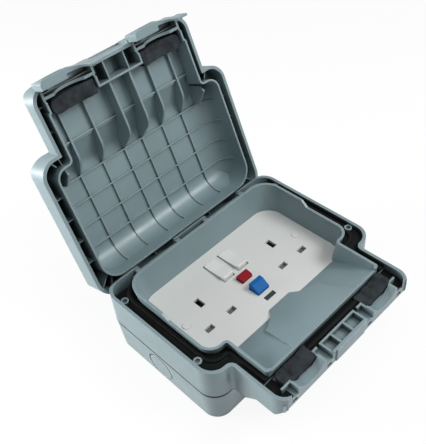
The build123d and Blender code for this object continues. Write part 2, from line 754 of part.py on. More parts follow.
def face_plate():
    """The white plate: pin slots, switch openings, indicator recess and screw holes."""
    half_x, half_y = PLATE_WIDTH / 2, PLATE_HEIGHT / 2
    plate = prism(rectangle(half_x, half_y, PLATE_R), PLATE_BACK_Z, FACE_Z)
    skin_z = FACE_Z - PLATE_SKIN
    inner = rectangle(half_x - TUB_WALL, half_y - TUB_WALL, PLATE_R - TUB_WALL)
    plate -= prism(inner, PLATE_BACK_Z, skin_z)
    plate = Pos(0, PLATE_Y, 0) * plate
    for x in plate_screw_xs():
        plate += rod(x, PLATE_Y, PLATE_SCREW_HEAD_R + PLATE_SCREW_FLOOR, PLATE_BACK_Z, skin_z)
        plate -= rod(x, PLATE_Y, PLATE_SCREW_HEAD_R, PLATE_BACK_Z + PLATE_SCREW_FLOOR, FACE_Z)
        plate -= rod(x, PLATE_Y, PLATE_SCREW_R, PLATE_BACK_Z, FACE_Z)
    for x in outlet_xs():
        for sx, sy, (w, h) in pin_places():
            plate -= box(
                (x + sx - w / 2, x + sx + w / 2), (sy - h / 2, sy + h / 2), (PLATE_BACK_Z, FACE_Z)
            )
    for x in rocker_xs():
        w, h = ROCKER_SIZE[0] / 2 + BUTTON_GAP, ROCKER_SIZE[1] / 2 + ROCKER_END_GAP
        plate -= box((x - w, x + w), (ROCKER_Y - h, ROCKER_Y + h), (PLATE_BACK_Z, FACE_Z))
    for (w, h), y in ((TEST_SIZE, TEST_Y), (RESET_SIZE, RESET_Y)):
        w, h = w / 2 + BUTTON_GAP, h / 2 + BUTTON_GAP
        plate -= box((-w, w), (y - h, y + h), (PLATE_BACK_Z, FACE_Z))
    w, h = WINDOW_SIZE[0] / 2, WINDOW_SIZE[1] / 2
    plate -= box((-w, w), (WINDOW_Y - h, WINDOW_Y + h), (PLATE_BACK_Z, FACE_Z))
    return plate


def outlet_xs():
    """Middle of each outlet along X."""
    return (-OUTLET_PITCH / 2, OUTLET_PITCH / 2)


def rocker_xs():
    """Middle of each rocker along X."""
    return (-ROCKER_PITCH / 2, ROCKER_PITCH / 2)


def pin_places():
    """Earth, live and neutral slots of an outlet: x from its middle, y, (width, height)."""
    low = EARTH_Y - LIVE_DROP
    return (
        (0, EARTH_Y, EARTH_SLOT),
        (LIVE_SPREAD / 2, low, LIVE_SLOT),
        (-LIVE_SPREAD / 2, low, LIVE_SLOT),
    )


def screw_caps():
    """The two thin caps that cover the plate screws."""
    group = Part()
    for x in plate_screw_xs():
        cap = rod(x, PLATE_Y, PLATE_SCREW_HEAD_R - 2 * PIN_PLAY, FACE_Z - CAP_DEPTH, FACE_Z + CAP_RISE)
        group += chamfer(cap.edges().group_by(Axis.Z)[-1], CAP_RISE / 2)
    return group


def plate_screws():
    """The two screws that hold the face plate to the back box pillars."""
    group = Part()
    for x in plate_screw_xs():
        seat = PLATE_BACK_Z + PLATE_SCREW_FLOOR
        group += rod(x, PLATE_Y, PLATE_SCREW_HEAD_R - BUTTON_GAP, seat, FACE_Z - CAP_DEPTH)
        group += rod(x, PLATE_Y, PLATE_SCREW_R - 2 * PIN_PLAY, BOX_FLOOR + PILLAR_BORE_FLOOR + 2, seat)
    return group


def socket_housing():
    """The moulding behind the plate: open pockets for the contacts and a bay for the module."""
    top, floor = PLATE_BACK_Z - HOUSING_GAP, PLATE_BACK_Z - HOUSING_DEPTH
    body = prism(rectangle(HOUSING_WIDTH / 2, HOUSING_HEIGHT / 2, WALL), floor, top)
    bay_x, bay_y = MODULE_SIZE[0] / 2 + HOUSING_GAP, MODULE_SIZE[1] / 2 + HOUSING_GAP
    body -= box((-bay_x, bay_x), (-bay_y, bay_y), (floor, top))
    body = Pos(0, HOUSING_Y, 0) * body
    for x in outlet_xs():
        for sx, sy, (w, h) in pin_places():
            w, h = w / 2 + CONTACT_T + CONTACT_ROOM, h / 2 + CONTACT_T + CONTACT_ROOM
            body -= box((x + sx - w, x + sx + w), (sy - h, sy + h), (floor, top))
    return body


def rcd_module():
    """The residual current unit: a block with button bores and the posts that carry the rockers."""
    half_x, half_y = MODULE_SIZE[0] / 2, MODULE_SIZE[1] / 2
    floor = PLATE_BACK_Z - HOUSING_DEPTH + HOUSING_GAP
    block = prism(rectangle(half_x, half_y, WALL), floor, MODULE_TOP_Z)
    block = Pos(0, HOUSING_Y, 0) * block
    post_y = (ROCKER_Y - POST_HALF, ROCKER_Y + POST_HALF)
    for post_x in rocker_posts():
        block += box(post_x, post_y, (MODULE_TOP_Z, ROCKER_PIVOT_Z + POST_RISE))
    block -= rod_x(ROCKER_Y, ROCKER_PIVOT_Z, ROCKER_PIVOT_R + PIN_PLAY, 1 - half_x, half_x - 1)
    bore_floor = MODULE_TOP_Z - STEM_DEPTH - BUTTON_TRAVEL - 1
    for y in (TEST_Y, RESET_Y):
        block -= rod(0, y, STEM_R + STEM_PLAY, bore_floor, MODULE_TOP_Z)
    return block


def rocker_posts():
    """Where the posts beside the rockers stand along X."""
    inner = ROCKER_PITCH / 2 - ROCKER_SIZE[0] / 2 - BUTTON_GAP
    outer = ROCKER_PITCH / 2 + ROCKER_SIZE[0] / 2 + BUTTON_GAP
    return ((-inner, inner), (outer, outer + POST_T), (-outer - POST_T, -outer))


def rocker(x):
    """One switch rocker on its stub axle, upper end pressed in."""
    w, h = ROCKER_SIZE[0] / 2, ROCKER_SIZE[1] / 2
    low, high = ROCKER_PIVOT_Z - POST_RISE, FACE_Z + ROCKER_RISE
    outline = [
        (ROCKER_Y - h, high, 0.8),
        (ROCKER_Y - h, high - ROCKER_SIDE, 0.8),
        (ROCKER_Y - ROCKER_KEEL, low, 0.5),
        (ROCKER_Y + ROCKER_KEEL, low, 0.5),
        (ROCKER_Y + h, high - ROCKER_SIDE, 0.8),
        (ROCKER_Y + h, high, 0.8),
        (ROCKER_Y, high - ROCKER_DISH, 30.0),
    ]
    body = slab_x(outline, x - w, x + w) & Pos(x, ROCKER_Y, 0) * prism(rectangle(w, h, ROCKER_R), low, high)
    body += rod_x(ROCKER_Y, ROCKER_PIVOT_Z, ROCKER_PIVOT_R, x - w - ROCKER_STUB, x + w + ROCKER_STUB)
    return body.rotate(Axis((0, ROCKER_Y, ROCKER_PIVOT_Z), (1, 0, 0)), -ROCKER_TILT)


def button(size, y, rise, slope):
    """A push button with a retaining flange under the plate and a stem into the module."""
    w, h = size[0] / 2, size[1] / 2
    top = FACE_Z + rise
    edge, thick = BUTTON_FLANGE
    flange_top = FACE_Z - PLATE_SKIN - BUTTON_GAP / 2
    low = flange_top - thick
    profile = [
        (y - h, low, 0),
        (y - h, top - slope, 0.6),
        (y + h / 4, top, 0.8),
        (y + h, top, 0.6),
        (y + h, low, 0),
    ]
    body = slab_x(profile, -w, w)
    body += box((-w - edge, w + edge), (y - h - edge, y + h + edge), (low, flange_top))
    return body + rod(0, y, STEM_R, MODULE_TOP_Z - STEM_DEPTH, low)


def indicator_window():
    """The dark window that shows the unit's state."""
    w, h = WINDOW_SIZE[0] / 2 - PIN_PLAY, WINDOW_SIZE[1] / 2 - PIN_PLAY
    edge, thick = BUTTON_FLANGE
    skin_z = FACE_Z - PLATE_SKIN
    body = box((-w, w), (WINDOW_Y - h, WINDOW_Y + h), (PLATE_BACK_Z, FACE_Z - WINDOW_SINK))
    flange_y = (WINDOW_Y - h - edge, WINDOW_Y + h + edge)
    return body + box((-w - edge, w + edge), flange_y, (skin_z - thick, skin_z))


def shutter(x):
    """One sliding shutter that blinds an outlet's live and neutral slots."""
    levels = (PLATE_BACK_Z - SHUTTER_GAP, FACE_Z - PLATE_SKIN - SHUTTER_GAP)
    y = EARTH_Y - LIVE_DROP
    half = LIVE_SPREAD / 2 + LIVE_SLOT[0] / 2 + 2 * SHUTTER_COVER
    cover = LIVE_SLOT[1] / 2 + SHUTTER_COVER
    arm_half = EARTH_SLOT[0] / 2 - SHUTTER_GAP / 2
    bar = box((x - half, x + half), (y - cover, y + cover), levels)
    arm = box((x - arm_half, x + arm_half), (y, EARTH_Y - EARTH_SLOT[1] / 2 - SHUTTER_GAP), levels)
    return bar + arm


def contact_clip(x, y, slot):
    """A sprung clip that grips one pin: two leaves on a base, wider than the pin by its slot."""
    w, h = slot[0] / 2 + CONTACT_T, slot[1] / 2 + CONTACT_T
    floor, top = PLATE_BACK_Z - HOUSING_DEPTH, PLATE_BACK_Z - CLIP_TOP
    clip = box((x - w, x + w), (y - h, y + h), (floor, top))
    if slot[0] > slot[1]:
        return clip - box((x - w, x + w), (y - slot[1] / 2, y + slot[1] / 2), (floor + CONTACT_T, top))
    return clip - box((x - slot[0] / 2, x + slot[0] / 2), (y - h, y + h), (floor + CONTACT_T, top))


def contacts(pin, bar_y, terminal_x):
    """Both outlets' clips for one pin, joined by a bus bar with its terminal block behind."""
    sx, sy, slot = pin_places()[pin]
    floor = PLATE_BACK_Z - HOUSING_DEPTH
    bar_low = floor - CONTACT_T
    xs = [x + sx for x in outlet_xs()]
    ends = xs + [terminal_x - BAR_HALF, terminal_x + BAR_HALF]
    bar = (bar_y - BAR_HALF, bar_y + BAR_HALF)
    strip = box((min(ends) - BAR_HALF, max(ends) + BAR_HALF), bar, (bar_low, floor))
    for x in xs:
        strip += contact_clip(x, sy, slot)
        reach = (min(sy, bar_y) - BAR_HALF, max(sy, bar_y) + BAR_HALF)
        strip += box((x - BAR_HALF, x + BAR_HALF), reach, (bar_low, floor))
    across = (terminal_x - TERMINAL_HALF, terminal_x + TERMINAL_HALF)
    along = (bar_y - TERMINAL_HALF, bar_y + TERMINAL_HALF)
    block = box(across, along, (bar_low - TERMINAL, bar_low))
    bore_z = bar_low - (TERMINAL + CONTACT_T) / 2
    block -= rod_y(terminal_x, bore_z, TERMINAL_BORE_R, along[0] - 1, along[1] + 1)
    block -= rod(terminal_x, bar_y, TERMINAL_SCREW_R, bar_low - TERMINAL, bar_low - TERMINAL / 2)
    return strip + block


def terminal_screws():
    """The three clamping screws, one in each terminal block."""
    group = Part()
    low = PLATE_BACK_Z - HOUSING_DEPTH - CONTACT_T - TERMINAL
    for x, y in TERMINALS:
        head = low - CAP_RISE
        screw = rod(x, y, TERMINAL_SCREW_R, head, low + TERMINAL / 2 - TERMINAL_SCREW_R)
        slot_half = BUTTON_GAP
        across = (x - TERMINAL_SCREW_R, x + TERMINAL_SCREW_R)
        group += screw - box(across, (y - slot_half, y + slot_half), (head, low + slot_half))
    return group


def hinge_pins():
    """The two pins that carry the lid."""
    pin = rod_x(HINGE_Y, HINGE_Z, PIN_R, HINGE_SPAN[0], HINGE_SPAN[1])
    return both_sides(pin)


def lid_roof(drop, spread):
    """The lid's domed form as crossed profiles, its roof lowered by drop, its sides moved in by spread."""
    low = RIDGE_EDGE_Z - 1
    top, wall = LID_TOP_Z - drop, LID_Z + LID_WALL_RISE - drop
    skirt_top = LID_Z + LID_SKIRT_RISE - drop
    side = [
        (HALF_H - spread, low, 0),
        (HALF_H - spread, wall, LID_WALL_R),
        (HALF_H - LID_FACET, top, LID_SHOULDER_R),
        (LID_STEP_Y[1], top, LID_STEP_R),
        (LID_STEP_Y[0], skirt_top, LID_STEP_R),
        (spread - FRONT_Y, skirt_top, LID_SKIRT_TOP_R),
        (spread - FRONT_Y, low, 0),
    ]
    wide = [
        (HALF_W - spread, low, 0),
        (HALF_W - spread, wall, LID_WALL_R),
        (HALF_W - LID_FACET, top, LID_SHOULDER_R),
        (LID_FACET - HALF_W, top, LID_SHOULDER_R),
        (spread - HALF_W, wall, LID_WALL_R),
        (spread - HALF_W, low, 0),
    ]
    narrow = [
        (HALF_S - spread, low, 0),
        (HALF_S - spread, skirt_top, LID_SKIRT_TOP_R),
        (spread - HALF_S, skirt_top, LID_SKIRT_TOP_R),
        (spread - HALF_S, low, 0),
    ]
    joint_y = -HALF_H - 0.01 + spread
    across = slab_y(wide, joint_y, BIG) + slab_y(narrow, -BIG, joint_y)
    return slab_x(side, -BIG, BIG) & across


def lid_cavity():
    """The room inside the sealing ridge: stepped ceiling, large fillets and the two pad pockets."""
    low = RIDGE_EDGE_Z - 1
    wide, rear = RIDGE[0], RIDGE[1]
    side = [
        (rear, low, 0),
        (rear, CEILING_Z, CAVITY_R),
        (LID_STEP_Y[1], CEILING_Z, LID_STEP_R),
        (LID_STEP_Y[0], SKIRT_CEILING_Z, LID_STEP_R),
        (-FRONT_Y, SKIRT_CEILING_Z, 0),
        (-FRONT_Y, low, 0),
    ]
    across = [
        (wide, low, 0),
        (wide, CEILING_Z, CAVITY_R),
        (-wide, CEILING_Z, CAVITY_R),
        (-wide, low, 0),
    ]
    plan = prism(ridge_face(0), low, LID_TOP_Z) + both_sides(pocket(0))
    return plan & slab_x(side, -BIG, BIG) & slab_y(across, -BIG, BIG)


def pocket(grow):
    """The right pad pocket in the lid, its walls moved out by grow."""
    return box(
        (POCKET_SPAN[0] - grow, POCKET_SPAN[1] + grow),
        (POCKET_WALL_Y - grow, WALL - RIDGE_FRONT_Y),
        (RIDGE_EDGE_Z, LID_TOP_Z),
    )


def lid():
    """The lid, shut: outer shell, sealing ridge round a domed cavity, ribs, fins, webs and barrels."""
    form = prism(case_face(0), RIDGE_EDGE_Z, LID_TOP_Z) & lid_roof(0, 0)
    hollow = prism(case_face(WALL), RIDGE_EDGE_Z, LID_TOP_Z) & lid_roof(ROOF, WALL)
    core = prism(ridge_face(RIDGE_T), RIDGE_EDGE_Z, LID_TOP_Z) + both_sides(pocket(RIDGE_T))
    cavity = lid_cavity()
    below = box((-BIG, BIG), (-BIG, BIG), (0, LID_Z))
    shell = form - hollow - below
    ridge = (core & form) - cavity
    ridge -= box((-BIG, BIG), (-BIG, POCKET_WALL_Y + POCKET_LIP), (0, LID_Z))
    body = shell + ridge
    body += channel_webs() & hollow - core
    body += front_cells() & hollow - core
    body += ceiling_ribs() & cavity
    body += fins() & cavity
    body += both_sides(latch_bay_walls()) & form
    sunk, panel = centre_panel(LID_Z, SKIRT_CEILING_Z)
    body += panel & form
    body -= both_sides(latch_bay())
    body -= sunk
    body -= both_sides(lid_cable_arch())
    body += both_sides(hinge_barrel())
    body -= both_sides(rod_x(HINGE_Y, HINGE_Z, PIN_R + PIN_PLAY, 0, HALF_W))
    body -= both_sides(rod_x(*LATCH_AXIS, LATCH_PIN_R, *latch_pin_span()))
    return largest(body)


def channel_webs():
    """Thin webs that tie the ridge to the outer wall all the way round."""
    levels = (LID_Z + WEB_EDGE, LID_TOP_Z)
    half = WEB_T / 2
    webs = Part()
    for row in range(RIB_ROWS):
        y = RIB_FIRST_Y - row * RIB_PITCH_Y
        webs += box((RIDGE[0], HALF_W), (y - half, y + half), levels)
    for inset in SKIRT_WEBS:
        y = -HALF_H - inset
        webs += box((RIDGE[3], HALF_S), (y - half, y + half), levels)
    for x, y, turn in (
        (RIDGE[0] - 2, RIDGE[1] - 2, 45),
        (RIDGE[0] - 5, RIDGE[1] + 2, 66),
        (RIDGE[0] - 4, -HALF_H + 7, -62),
        (RIDGE[3] + 6, -HALF_H + 9, -85),
    ):
        webs += Pos(x, y, 0) * Rot(0, 0, turn) * box((-2, CORNER_R + 2), (-half, half), levels)
    for x in (FIN_X[1], half):
        webs += box((x - half, x + half), (RIDGE[1], HALF_H), levels)
    return both_sides(webs)


def front_cells():
    """The cell walls between the two pad pockets, in line with the middle fins."""
    x, half = FIN_X[0], RIB_T / 2
    return both_sides(box((x - half, x + half), (-FRONT_Y, -RIDGE_FRONT_Y), (LID_Z + 1, LID_TOP_Z)))


def ceiling_ribs():
    """The grid of low ribs on the lid's ceiling."""
    levels = (CEILING_Z - RIB_DEPTH, LID_TOP_Z)
    half = RIB_T / 2
    grid = Part()
    for x in FIN_X:
        grid += box((x - half, x + half), (LID_STEP_Y[1], RIDGE[1]), levels)
    grid = both_sides(grid)
    for row in range(RIB_ROWS):
        y = RIB_FIRST_Y - row * RIB_PITCH_Y
        grid += box((-HALF_W, HALF_W), (y - half, y + half), levels)
    grid += fillet_ribs()
    front = (FRONT_RIB_Y - half, FRONT_RIB_Y + half)
    return grid + box((-HALF_S, HALF_S), front, (SKIRT_CEILING_Z - RIB_DEPTH, LID_TOP_Z))


def fillet_ribs():
    """The ends of the ceiling ribs, carried down over the big fillets with the same depth."""
    half = RIB_T / 2
    outer, inner = CAVITY_R + 1, CAVITY_R - RIB_DEPTH / 2
    ends = Part()
    centre_y, centre_x, centre_z = RIDGE[1] - CAVITY_R, RIDGE[0] - CAVITY_R, CEILING_Z - CAVITY_R
    for x in FIN_X:
        ring = rod_x(centre_y, centre_z, outer, x - half, x + half)
        ring -= rod_x(centre_y, centre_z, inner, x - half, x + half)
        ends += ring & box((0, HALF_W), (centre_y, HALF_H), (centre_z, CEILING_Z))
    for row in range(RIB_ROWS):
        y = RIB_FIRST_Y - row * RIB_PITCH_Y
        ring = rod_y(centre_x, centre_z, outer, y - half, y + half)
        ring -= rod_y(centre_x, centre_z, inner, y - half, y + half)
        ends += ring & box((centre_x, HALF_W), (-HALF_H, HALF_H), (centre_z, CEILING_Z))
    return both_sides(ends)


def fins():
    """The deep fins that run back from the lid's front, and the leaf shaped one at each side."""
    group = Part()
    for x, edge in zip(FIN_X, FIN_EDGE):
        group += fin(x, LID_Z + edge)
    return both_sides(group + leaf())


def fin(x, edge):
    """One fin: its free edge level at first, then a wide curve up into the ceiling grid."""
    front_y = -RIDGE_FRONT_Y - 2
    corners = [
        (front_y, edge, 0),
        (FIN_END_Y - FIN_CURVE, edge, FIN_ROUND),
        (FIN_END_Y, CEILING_Z - RIB_DEPTH, FIN_ROUND / 3),
        (FIN_END_Y, LID_TOP_Z, 0),
        (front_y, LID_TOP_Z, 0),
    ]
    return slab_x(corners, x - FIN_T / 2, x + FIN_T / 2)


def leaf():
    """The short leaf shaped fin by the lid's side wall, pointed towards the face plate."""
    front_y, rear_y = LEAF_SPAN
    front, tip, rear = LEAF_EDGE
    corners = [
        (front_y, LID_TOP_Z, 0),
        (front_y, LID_Z + front, LEAF_TIP / 2),
        (front_y + LEAF_TIP, LID_Z + tip, LEAF_TIP / 3),
        (rear_y, LID_Z + rear, LEAF_TIP),
        (rear_y, LID_TOP_Z, 0),
    ]
    return slab_x(corners, LEAF_X - FIN_T / 2, LEAF_X + FIN_T / 2)


def latch_bay():
    """The notch in the lid's front edge where the right latch swings."""
    return box(neck_span(LATCH_PLAY), (-FRONT_Y - 5, BAY_BACK_Y), (0, LID_TOP_Z + 1))


def latch_bay_walls():
    """Walls either side of the notch, which hold the latch pin, and its back wall."""
    low, high = neck_span(LATCH_PLAY)
    levels = (LID_Z, LID_TOP_Z)
    walls = box((low - BAY_WALL, low), (-FRONT_Y, POCKET_WALL_Y), levels)
    walls += box((high, high + BAY_WALL), (-FRONT_Y, POCKET_WALL_Y), levels)
    return walls + box((low - BAY_WALL, high + BAY_WALL), (BAY_BACK_Y, POCKET_WALL_Y), levels)


def lid_cable_arch():
    """The round topped way through the back wall of the latch notch, over the gutter."""
    return rod_y(WAY_X, LID_Z + GUTTER_DEPTH - GUTTER_R, GUTTER_R, BAY_BACK_Y - 1, POCKET_WALL_Y + POCKET_LIP)


def hinge_barrel():
    """The right hinge's barrel, hung from the lid's rear wall by a full length arm."""
    low, high = HINGE_SPAN[0] + LUG_T + SIDE_PLAY, HINGE_SPAN[1] - LUG_T - SIDE_PLAY
    arm = [
        (HINGE_Y + 0.6, HINGE_Z - 1.0, 0),
        (HINGE_Y + 3.2, HINGE_Z - 0.4, 0.6),
        (HALF_H, HINGE_Z + 3.4, 1.5),
        (HALF_H, LID_Z + 1, 0),
        (HALF_H - WALL, LID_Z + 1, 0),
        (HALF_H - WALL, HINGE_Z + 5.4, 1.0),
        (HINGE_Y - 0.4, HINGE_Z + 3.2, 0),
    ]
    return rod_x(HINGE_Y, HINGE_Z, BARREL_R, low, high) + slab_x(arm, low, high)


def neck_span(grow):
    """The extent along X of the right latch's upper part, inside the lid's notch."""
    return (WAY_X - LATCH_NECK / 2 - grow, WAY_X + LATCH_NECK / 2 + grow)


def latch_pin_span():
    """The latch pins' extent along X, into the walls either side of the notch."""
    low, high = neck_span(LATCH_PLAY)
    return (low - BAY_WALL, high + BAY_WALL)


def latch_pins():
    """The two pins that the latches swing on."""
    return both_sides(rod_x(*LATCH_AXIS, LATCH_PIN_R, *latch_pin_span()))


def lid_pad(side):
    """One soft block in the lid's pocket, facing the pad in the frame."""
    y_low, y_high = LID_PAD_Y
    bottom = LID_Z + PAD_GAP
    pad = prism(pad_face(LID_PAD_SPAN, LID_PAD_Y, LID_PAD_END_R), bottom, SKIRT_CEILING_Z)
    r = dish_r()
    pad -= rod_y(WAY_X, bottom - r + PAD_DIP, r, y_low - 1, y_high + 1)
    for x in FIN_X[1:]:
        pad -= box((x - FIN_T / 2, x + FIN_T / 2), (y_low - 1, y_high + 1), (LID_Z + FIN_EDGE[1], BIG))
    pad = largest(pad)
    return pad if side > 0 else mirrored(pad)


def grip_column():
    """The grip's outline seen from its foot, as a tall column: full on the left, fading to the right."""
    low, high = WAY_X + LATCH_PLAN_END[0], WAY_X + LATCH_PLAN_END[1]
    start, end = (low, LATCH_BELLY[0]), (high, LATCH_FACE_Y)
    swell = Spline(start, *[(WAY_X + x, y - FRONT_Y) for x, y in LATCH_PLAN], end)
    back = Polyline(end, (high, BAY_BACK_Y), (low, BAY_BACK_Y), start)
    return prism(make_face([*swell.edges(), *back.edges()]), LATCH_FOOT_Z - 1, LID_TOP_Z)


def cable_arch():
    """The round topped cable way through a latch, filled."""
    x, r = WAY_X + LATCH_ARCH_X, LATCH_ARCH_R
    spring = LATCH_ARCH_TOP - r
    way = (LATCH_LIP_Y - 1, BAY_BACK_Y)
    return rod_y(x, spring, r, *way) + box((x - r, x + r), way, (LATCH_FOOT_Z - 1, spring))


def hook_face():
    """A latch hook's profile: a ramp below and a flat catch above."""
    root, tip = LATCH_BACK_Y - LATCH_PLAY, LATCH_BACK_Y + HOOK_REACH
    return [
        (root, CATCH_Z + 1.0, 0),
        (tip, CATCH_Z + 0.6, 0.3),
        (tip, CATCH_Z - 0.3, 0.3),
        (root, CATCH_Z - 2.0, 0),
    ]


def latch(middle):
    """One latch, shut: a barrel, a flush skin, a thumb grip, a cable arch beside it and two hooks."""
    y, z = LATCH_AXIS
    low, high = latch_span(0)
    inner_y = LATCH_BACK_Y
    skin = [
        (y - 1.0, z + LATCH_BARREL_R, 0),
        (LATCH_FACE_Y, z + 0.8, 3.0),
        (LATCH_FACE_Y, LATCH_FOOT_Z, 0.5),
        (inner_y, LATCH_FOOT_Z, 0.5),
        (inner_y, z - LATCH_BARREL_R, 1.0),
        (y, z - LATCH_BARREL_R, 0),
    ]
    grip = [
        (inner_y, z, 0),
        (LATCH_FACE_Y, z, 0.8),
        (LATCH_BELLY[0], LATCH_BELLY[1], 8.0),
        (LATCH_LIP_Y, LATCH_FOOT_Z + 1.2, 0.9),
        (LATCH_LIP_Y + 1.0, LATCH_FOOT_Z, 0.5),
        (inner_y, LATCH_FOOT_Z, 0.5),
    ]
    flap = slab_x(skin, low, high) + (slab_x(grip, low, high) & grip_column())
    flap += rod_x(y, z, LATCH_BARREL_R, *neck_span(0))
    neck_low, neck_high = neck_span(0)
    for side in ((low - 1, neck_low), (neck_high, high + 1)):
        flap -= box(side, (LATCH_FACE_Y - LID_GAP, BAY_BACK_Y + WALL), (RIM_Z, LID_TOP_Z))
        flap -= box(side, (LATCH_LIP_Y - 1, BAY_BACK_Y), (RIM_Z + LATCH_WING, LID_TOP_Z))
    flap -= cable_arch()
    for offset in (-HOOK_X, HOOK_X):
        x = WAY_X + offset - HOOK_WIDTH / 2
        flap += slab_x(hook_face(), x, x + HOOK_WIDTH)
    flap -= rod_x(y, z, LATCH_PIN_R + PIN_PLAY, low, high)
    return largest(Pos(middle - WAY_X, 0, 0) * flap)


os.makedirs("parts", exist_ok=True)

TERMINALS = ((0.0, LINE_BAR_Y), (NEUTRAL_TERMINAL_X, NEUTRAL_BAR_Y), (-NEUTRAL_TERMINAL_X, EARTH_Y))

parts = {
    "back_box": back_box(),
    "box_seal": box_seal(),
    "front_frame": front_frame(),
    "case_screws": case_screws(),
    "inner_surround": inner_surround(),
    "lid_gasket": lid_gasket(),
    "frame_cable_pad_right": cable_pad(1),
    "frame_cable_pad_left": cable_pad(-1),
    "face_plate": face_plate(),
    "plate_screws": plate_screws(),
    "screw_caps": screw_caps(),
    "socket_housing": socket_housing(),
    "rcd_module": rcd_module(),
    "indicator_window": indicator_window(),
    "line_contacts": contacts(1, LINE_BAR_Y, TERMINALS[0][0]),
    "neutral_contacts": contacts(2, NEUTRAL_BAR_Y, TERMINALS[1][0]),
    "earth_contacts": contacts(0, EARTH_Y, TERMINALS[2][0]),
    "terminal_screws": terminal_screws(),
    "hinge_pins": hinge_pins(),
    "shutter_right": shutter(outlet_xs()[1]),
    "shutter_left": shutter(outlet_xs()[0]),
    "rocker_right": rocker(rocker_xs()[1]),
    "rocker_left": rocker(rocker_xs()[0]),
    "test_button": button(TEST_SIZE, TEST_Y, TEST_RISE, TEST_SLOPE),
    "reset_button": button(RESET_SIZE, RESET_Y, RESET_RISE, RESET_SLOPE),
}
lid_parts = {
    "lid": lid(),
    "lid_cable_pad_right": lid_pad(1),
    "lid_cable_pad_left": lid_pad(-1),
    "latch_pins": latch_pins(),
    "latch_right": latch(WAY_X),
    "latch_left": latch(-WAY_X),
}
parts.update({name: swing(shape) for name, shape in lid_parts.items()})
for name, shape in parts.items():
    export_step(shape, f"parts/{name}.step")
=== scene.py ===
# %% [markdown]
# # An outdoor socket box with its lid open
# The object is a grey weatherproof box that holds a double mains socket. The solid model is
# already packed, at its real size, so this lesson starts from its pieces as they are and gives
# them their looks: moulded plastic, rubber, foam, brass and steel. Blender works in metres here,
# and the small sizes below are in millimetres, times MM.

# %% Load the solid pieces
import json

import bpy
from mathutils import Matrix, Vector


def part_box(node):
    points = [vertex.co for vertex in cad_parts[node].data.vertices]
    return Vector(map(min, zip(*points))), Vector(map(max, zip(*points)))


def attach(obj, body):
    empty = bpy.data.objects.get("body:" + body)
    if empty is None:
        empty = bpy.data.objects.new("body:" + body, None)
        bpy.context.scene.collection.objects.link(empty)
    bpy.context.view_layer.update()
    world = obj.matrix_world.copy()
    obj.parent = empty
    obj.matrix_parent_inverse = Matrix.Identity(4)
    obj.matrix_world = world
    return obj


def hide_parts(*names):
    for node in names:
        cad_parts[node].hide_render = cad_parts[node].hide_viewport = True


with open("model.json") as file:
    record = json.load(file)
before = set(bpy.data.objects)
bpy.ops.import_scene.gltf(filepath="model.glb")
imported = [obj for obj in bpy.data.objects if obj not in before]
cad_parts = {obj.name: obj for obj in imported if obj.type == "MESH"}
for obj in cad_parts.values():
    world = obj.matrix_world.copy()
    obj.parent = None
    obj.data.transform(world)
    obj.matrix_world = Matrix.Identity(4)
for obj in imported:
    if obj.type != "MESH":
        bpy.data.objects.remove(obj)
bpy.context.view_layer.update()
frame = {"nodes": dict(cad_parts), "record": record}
MM = 0.001

# %% [markdown]
# ## Camera
# A camera in Blender looks down its own -Z axis. The three directions below are its right, down
# and forward axes, and with its place they give the view of a person who stands at the box's
# lower left corner and looks down at it. A longer lens would flatten the box.

# %% Place the camera
RIGHT = Vector((0.70409, -0.70614, -0.07503))
DOWN = Vector((-0.53060, -0.45293, -0.71646))
FORWARD = Vector((0.47194, 0.54426, -0.69358))
EYE = Vector((-0.22613, -0.23523, 0.41808))
SENSOR_WIDTH, FOCAL_LENGTH = 36.0, 52.856  # millimetres
SHIFT_X, SHIFT_Y = -0.0007, -0.0091  # shares of the picture's longer side
NEAREST = 0.01  # metres from the lens

bpy.ops.object.camera_add()
camera = bpy.context.object
camera.name = "camera"
turn = Matrix((RIGHT, -DOWN, -FORWARD)).transposed().to_4x4()
camera.matrix_world = Matrix.Translation(EYE) @ turn
camera.data.sensor_width = SENSOR_WIDTH
camera.data.lens = FOCAL_LENGTH
camera.data.shift_x = SHIFT_X
camera.data.shift_y = SHIFT_Y
camera.data.clip_start = NEAREST
bpy.context.scene.camera = camera
print("camera at", tuple(round(v, 3) for v in camera.location))

# %% [markdown]
# ## Light
# Moulded plastic shows its ribs through shade, so the light comes from three soft panels and an
# even room. The main one stands high in front on the right: it fills the open lid, leaves the
# ribs' left sides dark, and its reflection is the streak along the lid's round rear corner. One
# low behind on the left brightens the outer walls, and a weak one above evens the top.

# %% Light the scene
# Each panel has a name, a place, a point that it faces, its two sides in metres and its watts.
PANELS = (
    ("panel_main", (0.46, -0.58, 0.86), (0, 0, 0.08), (0.60, 0.36), 8.6),
    ("panel_left", (-0.55, 0.62, 0.20), (-0.09, 0.10, 0.11), (0.4, 0.3), 9.5),
    ("panel_above", (-0.15, -0.20, 1.10), (0, 0.05, 0.05), (0.6, 0.6), 3.4),
)

for name, place, aim, sides, watts in PANELS:
    bpy.ops.object.light_add(type="AREA", location=place)
    panel = bpy.context.object
    panel.name = name
    panel.data.shape = "RECTANGLE"
    panel.data.size, panel.data.size_y = sides
    panel.data.energy = watts
    facing = Vector(aim) - Vector(place)
    panel.rotation_euler = facing.to_track_quat("-Z", "Y").to_euler()

# %% [markdown]
# ## A white room
# The room and the floor look plain white to the camera and in reflections, but a room that
# bright would wash out the object's shade. Light Path tells one kind of ray from another, so
# those rays get a white glow, and the rays that light the object get the room's own low level.

# %% Helpers for white surroundings
def maths(tree, operation, first, second=0.0):
    """The result of a Math node on two values, each a number or another node's output."""
    step = tree.nodes.new("ShaderNodeMath")
    step.operation = operation
    for socket, value in zip(step.inputs, (first, second)):
        if isinstance(value, (int, float)):
            socket.default_value = value
        else:
            tree.links.new(value, socket)
    return step.outputs[0]


